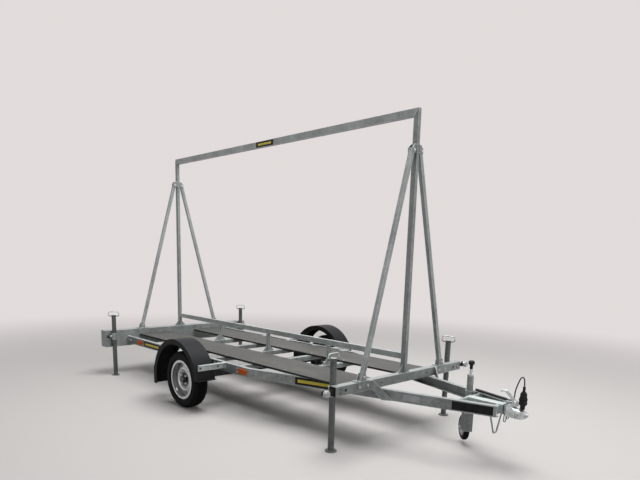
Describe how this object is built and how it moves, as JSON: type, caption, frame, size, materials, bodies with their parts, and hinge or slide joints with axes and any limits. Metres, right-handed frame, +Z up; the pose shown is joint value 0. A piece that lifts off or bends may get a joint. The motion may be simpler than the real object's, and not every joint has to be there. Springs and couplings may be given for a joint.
{
  "type": "advertising trailer",
  "caption": "Galvanised flat trailer with a V drawbar, an upright banner frame on braces, plank walkways, mudguards, prop stands and a jockey wheel.",
  "frame": {"origin": "on the ground, under the middle of the trailer's overall box", "axes": "+X along the trailer towards the coupling, +Y to its left, +Z up"},
  "size_m": [4.7, 2.052, 2.552],
  "materials": {
    "galvanised": "dull hot-dip zinc",
    "black_axle": "satin black",
    "grey_ply": "film-faced, mesh-pressed grey",
    "tyre": "matt",
    "rim_steel": "satin silver",
    "hub_steel": "zinc plated",
    "black_plastic": "moulded black",
    "black_rubber": "matt",
    "coupling_zinc": "zinc plated",
    "chrome": "bright",
    "jockey_rubber": "solid rubber on a steel centre",
    "white_lens": "clear lens over white",
    "red_lens": "gloss red",
    "amber_lens": "gloss amber"
  },
  "bodies": {
    "chassis": {"rail_left": "galvanised", "rail_right": "galvanised", "cross_members": "galvanised", "rear_beam": "galvanised", "front_beam": "galvanised", "drawbar_gussets": "galvanised", "axle_beam": "black_axle", "axle_arms": "black_axle", "plank_left": "grey_ply", "plank_right": "grey_ply", "mudguard_left": "black_plastic", "mudguard_right": "black_plastic", "mudguard_brackets": "galvanised", "upright_rear": "galvanised", "upright_front": "galvanised", "top_beam": "galvanised", "bottom_rail": "galvanised", "rail_posts": "galvanised", "brace_rear_left": "galvanised", "brace_rear_right": "galvanised", "brace_front_left": "galvanised", "brace_front_right": "galvanised", "brace_feet": "galvanised", "brace_collars": "galvanised", "stand_clamps": "galvanised", "clamp_handles": "black_plastic", "coupling_base": "galvanised", "coupling_head": "coupling_zinc", "coupling_lever": "chrome", "plug_holder": "black_plastic", "plug": "black_plastic", "skid_hoop": "galvanised", "lead_conduit": "black_rubber", "lighting_lead": "black_rubber", "breakaway_cable": "black_rubber", "jockey_clamp": "galvanised", "marker_arms": "black_rubber", "marker_lenses": "white_lens", "rear_lamps": "red_lens", "side_reflectors": "amber_lens"},
    "wheel_left": {"tyre_left": "tyre", "rim_left": "rim_steel", "hub_left": "hub_steel"},
    "wheel_right": {"tyre_right": "tyre", "rim_right": "rim_steel", "hub_right": "hub_steel"},
    "prop_front_left": {"stand_front_left": "galvanised"},
    "prop_front_right": {"stand_front_right": "galvanised"},
    "prop_rear_left": {"stand_rear_left": "galvanised"},
    "prop_rear_right": {"stand_rear_right": "galvanised"},
    "jockey_leg": {"jockey_outer": "galvanised", "jockey_crank": "black_plastic", "jockey_inner": "galvanised"},
    "jockey_caster": {"jockey_fork": "galvanised"},
    "jockey_roller": {"jockey_wheel": "jockey_rubber"}
  },
  "joints": [
    {"name": "wheel_left_spin", "type": "hinge", "parent": "chassis", "child": "wheel_left", "pos_m": [-0.508, 0.946, 0.2665], "axis": [0, 1, 0], "continuous": true},
    {"name": "wheel_right_spin", "type": "hinge", "parent": "chassis", "child": "wheel_right", "pos_m": [-0.508, -0.946, 0.2665], "axis": [0, 1, 0], "continuous": true},
    {"name": "prop_front_left_slide", "type": "slide", "parent": "chassis", "child": "prop_front_left", "axis": [0, 0, 1], "range_m": [0, 0.3]},
    {"name": "prop_front_right_slide", "type": "slide", "parent": "chassis", "child": "prop_front_right", "axis": [0, 0, 1], "range_m": [0, 0.3]},
    {"name": "prop_rear_left_slide", "type": "slide", "parent": "chassis", "child": "prop_rear_left", "axis": [0, 0, 1], "range_m": [0, 0.3]},
    {"name": "prop_rear_right_slide", "type": "slide", "parent": "chassis", "child": "prop_rear_right", "axis": [0, 0, 1], "range_m": [0, 0.3]},
    {"name": "jockey_clamp_slide", "type": "slide", "parent": "chassis", "child": "jockey_leg", "axis": [0, 0, 1], "range_m": [-0.03, 0.08]},
    {"name": "jockey_swivel", "type": "hinge", "parent": "jockey_leg", "child": "jockey_caster", "pos_m": [1.817, 0.13862, 0.274], "axis": [0, 0, 1], "continuous": true},
    {"name": "jockey_roll", "type": "hinge", "parent": "jockey_caster", "child": "jockey_roller", "pos_m": [1.76521, 0.18864, 0.134], "axis": [-0.6947, -0.7193, 0], "continuous": true}
  ]
}
